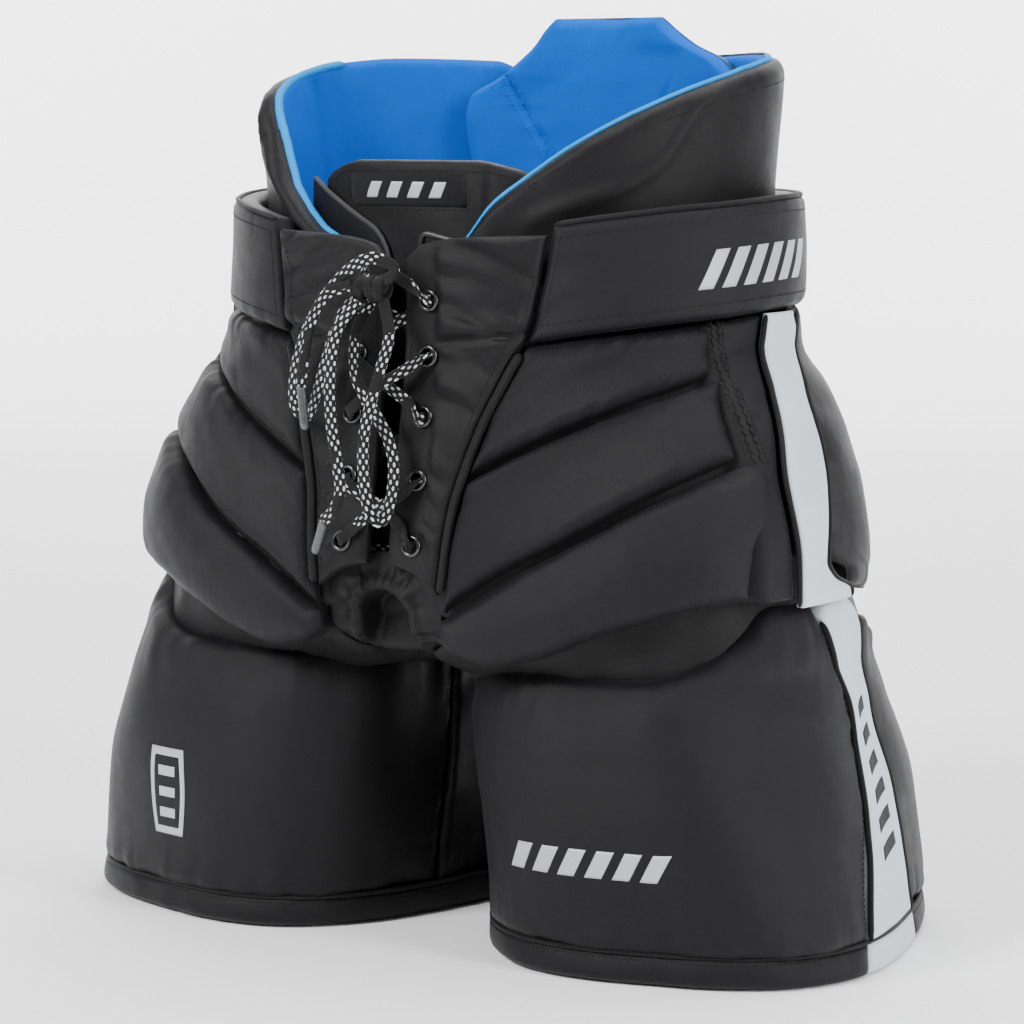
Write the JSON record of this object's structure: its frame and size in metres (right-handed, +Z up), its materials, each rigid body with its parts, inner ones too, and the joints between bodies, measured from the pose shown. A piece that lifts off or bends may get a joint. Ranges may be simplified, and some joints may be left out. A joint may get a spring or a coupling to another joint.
{
  "type": "hockey pants",
  "caption": "Padded goalie-style hockey pants with laced fly, wide belt, floating collar pads, segmented hip pads and boxy thigh panels with side stripes.",
  "frame": {"origin": "on the floor under the middle of the object, as it stands on its two leg hems", "axes": "+Z up, -Y towards the front (the lacing), +X towards the wearer's left"},
  "size_m": [0.376, 0.2342, 0.38],
  "materials": {
    "shell_nylon": "dense black nylon with a soft sheen",
    "soft_nylon": "softer black nylon",
    "lining_mesh": "matte black lining",
    "foam": "closed-cell foam",
    "guard_plastic": "matte moulded sheet",
    "collar_liner": "bright blue brushed knit",
    "stripe_knit": "light grey smooth knit",
    "eyelet_metal": "black enamelled metal",
    "webbing": "woven black webbing",
    "buckle_plastic": "black moulded plastic",
    "lace_cord": "flat black braid with white flecks",
    "aglet_plastic": "smoky plastic tube"
  },
  "bodies": {
    "waist": {"belt_cover_left": "shell_nylon", "belt_cover_right": "shell_nylon", "belt_foam_left": "foam", "belt_foam_right": "foam", "fly_facing_left": "soft_nylon", "fly_facing_right": "soft_nylon", "eyelets_left": "eyelet_metal", "eyelets_right": "eyelet_metal", "hip_pad_upper_left": "shell_nylon", "hip_pad_upper_right": "shell_nylon", "hip_pad_middle_left": "shell_nylon", "hip_pad_middle_right": "shell_nylon", "hip_pad_lower_left": "shell_nylon", "hip_pad_lower_right": "shell_nylon", "hip_plate_left": "guard_plastic", "hip_plate_right": "guard_plastic", "upper_stripe_left": "stripe_knit", "upper_stripe_right": "stripe_knit", "seat_panel_left": "soft_nylon", "seat_panel_right": "soft_nylon", "tailbone_pad": "foam", "waist_lining": "lining_mesh", "crotch_gusset": "soft_nylon", "waist_strap": "webbing", "lace": "lace_cord", "lace_knot": "lace_cord", "bow_loop_left": "lace_cord", "bow_loop_right": "lace_cord", "lace_tail_left": "lace_cord", "lace_tail_right": "lace_cord", "aglets": "aglet_plastic"},
    "left_leg": {"thigh_cover_left": "shell_nylon", "thigh_foam_left": "foam", "thigh_plate_left": "guard_plastic", "leg_lining_left": "lining_mesh", "rear_panel_left": "soft_nylon", "inner_panel_left": "soft_nylon", "hem_band_left": "shell_nylon", "lower_stripe_left": "stripe_knit"},
    "right_leg": {"thigh_cover_right": "shell_nylon", "thigh_foam_right": "foam", "thigh_plate_right": "guard_plastic", "leg_lining_right": "lining_mesh", "rear_panel_right": "soft_nylon", "inner_panel_right": "soft_nylon", "hem_band_right": "shell_nylon", "lower_stripe_right": "stripe_knit"},
    "left_kidney_pad": {"kidney_cover_left": "soft_nylon", "kidney_foam_left": "foam", "kidney_liner_left": "collar_liner"},
    "right_kidney_pad": {"kidney_cover_right": "soft_nylon", "kidney_foam_right": "foam", "kidney_liner_right": "collar_liner"},
    "spine_pad": {"spine_cover": "soft_nylon", "spine_foam": "foam", "spine_liner": "collar_liner"},
    "tongue": {"tongue_cover": "soft_nylon", "tongue_foam": "foam"},
    "buckle": {"strap_buckle": "buckle_plastic"}
  },
  "joints": [
    {"name": "left_leg_swing", "type": "hinge", "parent": "waist", "child": "left_leg", "pos_m": [0.0865, 0, 0.13], "axis": [-1, 0, 0], "range_deg": [-10, 25], "deforming": ["hip_pad_lower_left"]},
    {"name": "right_leg_swing", "type": "hinge", "parent": "waist", "child": "right_leg", "pos_m": [-0.0865, 0, 0.13], "axis": [-1, 0, 0], "range_deg": [-10, 25], "deforming": ["hip_pad_lower_right"]},
    {"name": "spine_pad_tilt", "type": "hinge", "parent": "waist", "child": "spine_pad", "pos_m": [0, 0.062, 0.296], "axis": [1, 0, 0], "range_deg": [0, 10]},
    {"name": "left_kidney_pad_flare", "type": "hinge", "parent": "waist", "child": "left_kidney_pad", "pos_m": [0.112, 0, 0.3], "axis": [0, 1, 0], "range_deg": [0, 9]},
    {"name": "right_kidney_pad_flare", "type": "hinge", "parent": "waist", "child": "right_kidney_pad", "pos_m": [-0.112, 0, 0.3], "axis": [0, -1, 0], "range_deg": [0, 9]},
    {"name": "tongue_tilt", "type": "hinge", "parent": "waist", "child": "tongue", "pos_m": [0, -0.088, 0.172], "axis": [-1, 0, 0], "range_deg": [0, 8]},
    {"name": "buckle_swivel", "type": "hinge", "parent": "waist", "child": "buckle", "pos_m": [0.017, -0.0824, 0.275], "axis": [1, 0, 0], "range_deg": [-6, 4]}
  ]
}
